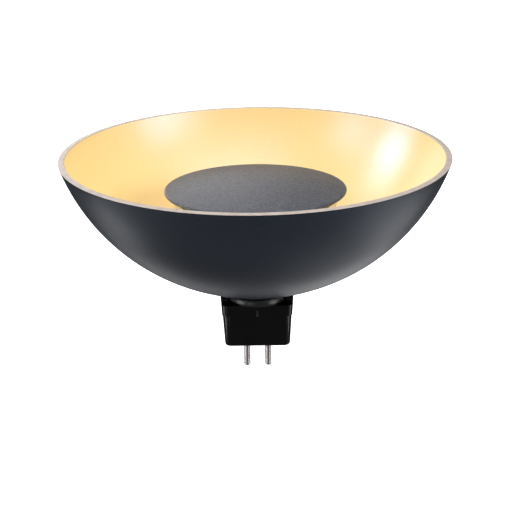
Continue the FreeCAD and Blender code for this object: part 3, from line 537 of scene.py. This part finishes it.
def make_cap(finish):
    """The domed cap with its fully rounded edge, and the three threaded bosses under it."""
    low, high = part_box("glare_cap")
    edge_radius = CAP_RADIUS - CAP_WALL / 2
    dome = (edge_radius ** 2 + CAP_RISE ** 2) / (2 * CAP_RISE)
    top = high.z
    edge_height = top - CAP_RISE - CAP_WALL / 2
    spread = math.degrees(math.asin(edge_radius / dome))
    upper = arc(0, top - dome, dome, 90 - spread, 90, 40)
    lower = arc(0, top - CAP_WALL - dome, dome, 90, 90 - spread, 40)
    rounding = arc(edge_radius, edge_height, CAP_WALL / 2, -90, 90, 12)
    lower[0] = (0.0, lower[0][1])
    upper[-1] = (0.0, upper[-1][1])
    profile = lower + rounding[1:-1] + upper
    cap = lathe("cap", profile, [finish], steps=256)
    boss_top = edge_height + CAP_WALL / 4
    corners = [
        (THREAD_RADIUS, low.z), (BOSS_RADIUS, low.z),
        (BOSS_RADIUS, boss_top), (THREAD_RADIUS, boss_top),
    ]
    for angle in BOSS_ANGLES:
        x = BOSS_CIRCLE * math.cos(math.radians(angle))
        y = BOSS_CIRCLE * math.sin(math.radians(angle))
        outline = softened(corners, radius=0.1 * MM)
        boss = lathe("cap_boss_%d" % angle, outline, [finish], steps=48, axis=(x, y))
        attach(boss, "root")
    place(cap, "cap_paint", "glare_cap")


def make_collar(finish):
    """The glossy neck ring: a crowned band below, a slightly narrower neck under the bowl."""
    low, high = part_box("neck_collar")
    crown = 0.12 * MM
    neck = 0.3 * MM
    corners = [(COLLAR_BORE, low.z), (COLLAR_LOWER, low.z)]
    insets = ((0.2, -crown), (0.4, -crown), (0.56, 0), (0.66, neck), (0.85, neck), (1, neck))
    for share, inset in insets:  # share of the collar's height
        radius = COLLAR_LOWER + (COLLAR_UPPER - COLLAR_LOWER) * share - inset
        corners.append((radius, low.z + (high.z - low.z) * share))
    corners.append((COLLAR_BORE, high.z))
    piece = lathe("collar", softened(corners, radius=0.25 * MM), [finish], steps=256)
    place(piece, "gloss_black", "neck_collar")


def make_housing(finish):
    """The upper half of the base: a drafted box, open below, whose two side cheeks hold the collar."""
    low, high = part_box("driver_housing")
    collar_low, collar_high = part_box("neck_collar")
    socket_foot = collar_low.z
    roof = socket_foot - SHELL_WALL
    foot_x, foot_y = HOUSING_FOOT
    grow = high.x - foot_x
    room_x, room_y = foot_x - SHELL_WALL, foot_y - SHELL_WALL
    room_corner = CORNER - SHELL_WALL / 2
    loops = [
        rounded_loop(room_x, room_y, room_corner, roof),
        rounded_loop(room_x, room_y, room_corner, low.z),
        rounded_loop(foot_x, foot_y, CORNER, low.z),
        rounded_loop(foot_x + grow, foot_y + grow, CORNER + grow, high.z),
    ]
    piece = loft("housing", loops, [finish])
    mouth = high.z + MM
    far = 3 * foot_x
    cheek = CHEEK_HALF_DEPTH
    blocks = {
        "saddle": ((-SADDLE, -far, socket_foot), (SADDLE, far, mouth)),
        "front": ((-far, -far, socket_foot), (far, -cheek, mouth)),
        "back": ((-far, cheek, socket_foot), (far, far, mouth)),
    }
    for name, (near, away) in blocks.items():
        cut_out(piece, block(name, near, away, finish))
    slope = (COLLAR_UPPER - COLLAR_LOWER) / (collar_high.z - socket_foot)
    lower = COLLAR_LOWER + PLAY
    upper = lower + slope * (mouth - socket_foot)
    outline = [(0, socket_foot), (lower, socket_foot), (upper, mouth), (0, mouth)]
    tool = lathe("socket", outline, [finish])
    cut_out(piece, tool)
    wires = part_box("lead_grommet")[1].x
    start = roof - MM
    outline = [(0, start), (wires, start), (wires, mouth), (0, mouth)]
    tool = lathe("passage", outline, [finish], steps=64)
    cut_out(piece, tool)
    soften_edges(piece, width=0.12 * MM)
    place(piece, "satin_black", "driver_housing")


def make_rib(finish):
    """The small tapered rib on the front of the housing."""
    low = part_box("driver_housing")[0]
    foot = low.z + RIB_FOOT
    top = low.z + RIB_HEIGHT
    half = RIB_WIDTH / 2
    tip = half * RIB_TIP_SHARE
    wall = -HOUSING_FOOT[1]
    outline = [(-half, foot), (half, foot), (tip, top), (-tip, top)]
    points = [(x, y, z) for y in (wall - RIB_DEPTH, wall + RIB_DEPTH) for x, z in outline]
    sides = [[k, (k + 1) % 4, 4 + (k + 1) % 4, 4 + k] for k in range(4)]
    rib = new_mesh("housing_rib", points, [[3, 2, 1, 0], [4, 5, 6, 7]] + sides, [finish])
    soften_edges(rib, width=0.08 * MM)
    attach(rib, "root")


def make_base(finish):
    """The lower half of the base: a tapered cup with a rounded foot, and its spigot inside the housing."""
    low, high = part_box("base_cap")
    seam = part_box("driver_housing")[0].z
    foot_x, foot_y = BASE_FOOT
    grow = high.x - foot_x
    spigot_x, spigot_y = (half - SHELL_WALL - PLAY for half in HOUSING_FOOT)
    cavity_x, cavity_y = foot_x - SHELL_WALL, foot_y - SHELL_WALL
    loops = [
        rounded_loop(cavity_x, cavity_y, CORNER / 2, low.z + BASE_FLOOR),
        rounded_loop(cavity_x, cavity_y, CORNER / 2, high.z),
        rounded_loop(spigot_x, spigot_y, CORNER - SHELL_WALL / 2, high.z),
        rounded_loop(spigot_x, spigot_y, CORNER - SHELL_WALL / 2, seam),
        rounded_loop(foot_x + grow, foot_y + grow, CORNER + grow, seam),
    ]
    steps = 6
    edge_share = BASE_EDGE / (seam - low.z)
    for k in range(steps + 1):
        angle = math.pi / 2 * k / steps
        inset = BASE_EDGE * (1 - math.cos(angle))
        height = low.z + BASE_EDGE * (1 - math.sin(angle))
        out = grow * edge_share * (1 - k / steps) - inset
        loops.append(rounded_loop(foot_x + out, foot_y + out, CORNER + out, height))
    piece = loft("base", loops, [finish])
    for side in (-1, 1):
        hole = PIN_ROOT + PIN_PLAY
        start, end = low.z - MM, low.z + 2 * BASE_FLOOR
        outline = [(0, start), (hole, start), (hole, end), (0, end)]
        tool = lathe("pin_hole", outline, [finish], steps=48, axis=(side * pin_offset(), 0))
        cut_out(piece, tool)
    soften_edges(piece, width=0.1 * MM)
    place(piece, "satin_black", "base_cap")


def pin_offset():
    """How far each contact pin stands from the lamp's axis."""
    low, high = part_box("contact_pin_right")
    return (low.x + high.x) / 2


def make_pins(finish):
    """The two contact pins with softly rounded tips."""
    for side, node in ((-1, "contact_pin_left"), (1, "contact_pin_right")):
        low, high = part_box(node)
        flange_top = BASE_FLOOR + PIN_FLANGE_WALL
        corners = [
            (0, low.z), (PIN_RADIUS - PIN_CHAMFER, low.z), (PIN_RADIUS, low.z + PIN_CHAMFER),
            (PIN_RADIUS, 0), (PIN_ROOT, 0), (PIN_ROOT, BASE_FLOOR), (PIN_FLANGE, BASE_FLOOR),
            (PIN_FLANGE, flange_top), (PIN_TAIL, flange_top), (PIN_TAIL, high.z), (0, high.z),
        ]
        name = "pin_left" if side < 0 else "pin_right"
        outline = softened(corners, radius=0.12 * MM)
        piece = lathe(name, outline, [finish], steps=64, axis=(side * pin_offset(), 0))
        place(piece, "plated_pin", node)


def dress_cad_nodes(finishes):
    """Gives the carried-over CAD nodes their finishes."""
    for node, finish in finishes.items():
        piece = NODES[node]
        if not piece.material_slots:
            piece.data.materials.append(finish)
        for slot in piece.material_slots:
            slot.material = finish


# ---------------------------------------------------------------- studio

def make_floor():
    """A plain white floor that takes no shadow."""
    height = CAD_BOX[0].z
    half = FLOOR_HALF
    points = [(-half, -half, height), (half, -half, height), (half, half, height), (-half, half, height)]
    look = Finish("floor_white", Base_Color=(0.9, 0.9, 0.9, 1), Roughness=0.9, Specular_IOR_Level=0.0)
    look.shader.inputs["Emission Color"].default_value = (1, 1, 1, 1)
    look.shader.inputs["Emission Strength"].default_value = FLOOR_GLOW
    floor = new_mesh("floor", points, [[0, 1, 2, 3]], [look.material])
    floor.visible_glossy = False
    floor.visible_diffuse = False
    floor.visible_shadow = False


def make_light(name, azimuth, elevation, width, height, radiance):
    """A soft white light at an azimuth round from the camera (right is positive), aimed at the lamp."""
    turn, lift = math.radians(azimuth), math.radians(elevation)
    way = Vector((math.sin(turn) * math.cos(lift), -math.cos(turn) * math.cos(lift), math.sin(lift)))
    data = bpy.data.lights.new(name, "AREA")
    data.shape = "RECTANGLE"
    data.size, data.size_y = width, height
    data.energy = math.pi * width * height * radiance
    light = bpy.data.objects.new(name, data)
    light.location = Vector(LIGHT_AIM) + way * LIGHT_DISTANCE
    light.rotation_euler = (-way).to_track_quat("-Z", "Y").to_euler()
    bpy.context.scene.collection.objects.link(light)


def make_studio():
    """The world and the soft lights: at the sides, above, behind, and dim ones low for the sheen."""
    world = bpy.data.worlds.new("studio")
    bpy.context.scene.world = world
    world.use_nodes = True
    nodes, links = world.node_tree.nodes, world.node_tree.links
    nodes["Background"].inputs["Color"].default_value = (1, 1, 1, 1)
    towards_dark = nodes.new("ShaderNodeVectorMath")
    towards_dark.operation = "DOT_PRODUCT"
    towards_dark.inputs[1].default_value = DARK_SIDE
    links.new(nodes.new("ShaderNodeTexCoord").outputs["Generated"], towards_dark.inputs[0])
    glow = nodes.new("ShaderNodeMapRange")
    glow.interpolation_type = "SMOOTHSTEP"
    glow.inputs["From Min"].default_value = DARK_RANGE[0]
    glow.inputs["From Max"].default_value = DARK_RANGE[1]
    glow.inputs["To Min"].default_value = WORLD_GLOW
    glow.inputs["To Max"].default_value = DARK_GLOW
    links.new(towards_dark.outputs["Value"], glow.inputs["Value"])
    links.new(glow.outputs["Result"], nodes["Background"].inputs["Strength"])
    make_light("strip_left", -107, 24, 0.22, 0.22, 13)
    make_light("box_left", -70, 30, 0.25, 0.25, 5)
    make_light("box_left_back", -120, 34, 0.25, 0.25, 2)
    make_light("box_right_front", 52, 22, 0.32, 0.32, 4.4)
    make_light("box_right", 68, 24, 0.25, 0.25, 5.5)
    make_light("box_top", 0, 89.9, 0.4, 0.4, 6)
    make_light("box_top_front", 0, 62, 0.5, 0.5, 1.2)
    make_light("box_top_right", 60, 62, 0.4, 0.4, 1.6)
    make_light("low_left", -60, -15, 0.3, 0.3, 6.5)
    make_light("low_right", 60, -15, 0.3, 0.3, 7)
    make_light("low_left_front", -25, -20, 0.2, 0.2, 2.5)
    make_light("horizon_left", -152, 14, 0.25, 0.25, 6)
    make_light("horizon_right", 160, 20, 0.25, 0.2, 1)
    make_light("horizon_back", -171, 12, 0.25, 0.15, 4.2)
    make_light("back_high", 180, 46, 0.5, 0.15, 2.4)
    make_light("sheen_left", -126, -42, 0.2, 0.2, 2.9)
    make_light("sheen_left_back", -160, -42, 0.25, 0.25, 1)
    make_light("sheen_right", 129, -42, 0.25, 0.25, 2.2)
    make_light("sheen_right_back", 162, -42, 0.25, 0.25, 1.7)
    make_light("sheen_right_side", 100, -45, 0.25, 0.25, 1.7)
    make_light("sheen_right_low", 130, -65, 0.3, 0.3, 0.7)
    make_light("sheen_bottom", 180, -50, 0.25, 0.25, 0.5)
    make_light("corner_left", -84, -25, 0.16, 0.1, 11)
    make_light("corner_right", 84, -25, 0.16, 0.1, 8)


def make_camera():
    """The camera of the photograph: far off, a little above, rolled by almost a degree."""
    elevation = math.radians(17.211)
    roll = math.radians(0.8)
    distance = 1.0
    view_width = 129.1625 * MM  # what the picture shows across, one metre away
    look = Vector((0, 0, 24.28 * MM))
    aim = Vector((-0.11 * MM, 0, 22.19 * MM))
    data = bpy.data.cameras.new("camera")
    data.sensor_width = 36.0
    data.lens = data.sensor_width / view_width
    data.clip_start, data.clip_end = 0.05, 20
    camera = bpy.data.objects.new("camera", data)
    camera.location = look + Vector((0, -math.cos(elevation), math.sin(elevation))) * distance
    back = (camera.location - aim).normalized()
    right = Vector((0, 0, 1)).cross(back).normalized()
    up = back.cross(right)
    tilted_up = up * math.cos(roll) + right * math.sin(roll)
    tilted_right = tilted_up.cross(back)
    camera.rotation_euler = Matrix((tilted_right, tilted_up, back)).transposed().to_euler()
    bpy.context.scene.collection.objects.link(camera)
    bpy.context.scene.camera = camera


# ---------------------------------------------------------------- the lamp

bpy.context.scene.view_settings.view_transform = "Standard"
make_bowl(powder_black(), gold_lacquer(), bare_rim())
make_cap(cap_powder())
gloss = gloss_black()
make_collar(gloss)
plastic = satin_black()
make_housing(plastic)
make_rib(gloss)
make_base(plastic)
make_pins(nickel())
aluminium = turned_aluminium()
steel = screw_steel()
epoxy = moulded("epoxy_black", (0.012, 0.012, 0.013), (0.03, 0.03, 0.032), 0.4, 0.6)
thermal = moulded("thermal_pad", (0.36, 0.37, 0.4), (0.5, 0.51, 0.53), 0.6, 0.8)
dress_cad_nodes({
    "stem_post": aluminium,
    "heat_spreader": aluminium,
    "stem_screws": steel,
    "spreader_screws": steel,
    "board_screws": steel,
    "cap_screws": steel,
    "diffuser_ring": frosted_plastic(),
    "driver_board": circuit_board("driver_solder_mask", (0.01, 0.09, 0.03), (0.02, 0.17, 0.06), 1.4),
    "led_board": circuit_board("light_board_mask", (0.7, 0.7, 0.68), (0.86, 0.86, 0.84), 3.0),
    "led_chips": moulded(
        "chip_phosphor", (0.9, 0.6, 0.12), (0.95, 0.72, 0.2), 0.3, 0.45,
        Emission_Color=(1.0, 0.72, 0.36, 1), Emission_Strength=LAMP_GLOW,
    ),
    "bridge_rectifier": epoxy,
    "driver_chip": epoxy,
    "catch_diode": epoxy,
    "chip_resistors": epoxy,
    "power_inductor": moulded("ferrite", (0.06, 0.06, 0.065), (0.12, 0.12, 0.125), 0.5, 0.7),
    "smoothing_capacitor": moulded(
        "drawn_can", (0.6, 0.6, 0.62), (0.76, 0.76, 0.78), 0.25, 0.4, Metallic=1.0,
    ),
    "chip_capacitors": moulded("ceramic_tan", (0.36, 0.24, 0.13), (0.48, 0.34, 0.2), 0.4, 0.6),
    "lead_grommet": moulded("silicone_black", (0.015, 0.015, 0.015), (0.03, 0.03, 0.03), 0.55, 0.75),
    "stem_gasket": thermal,
    "thermal_sheet": thermal,
    "led_lead_positive": moulded("lead_red", (0.38, 0.015, 0.01), (0.5, 0.03, 0.02), 0.4, 0.6),
    "led_lead_negative": moulded("lead_black", (0.012, 0.012, 0.012), (0.025, 0.025, 0.025), 0.4, 0.6),
})
make_floor()
make_studio()
make_camera()
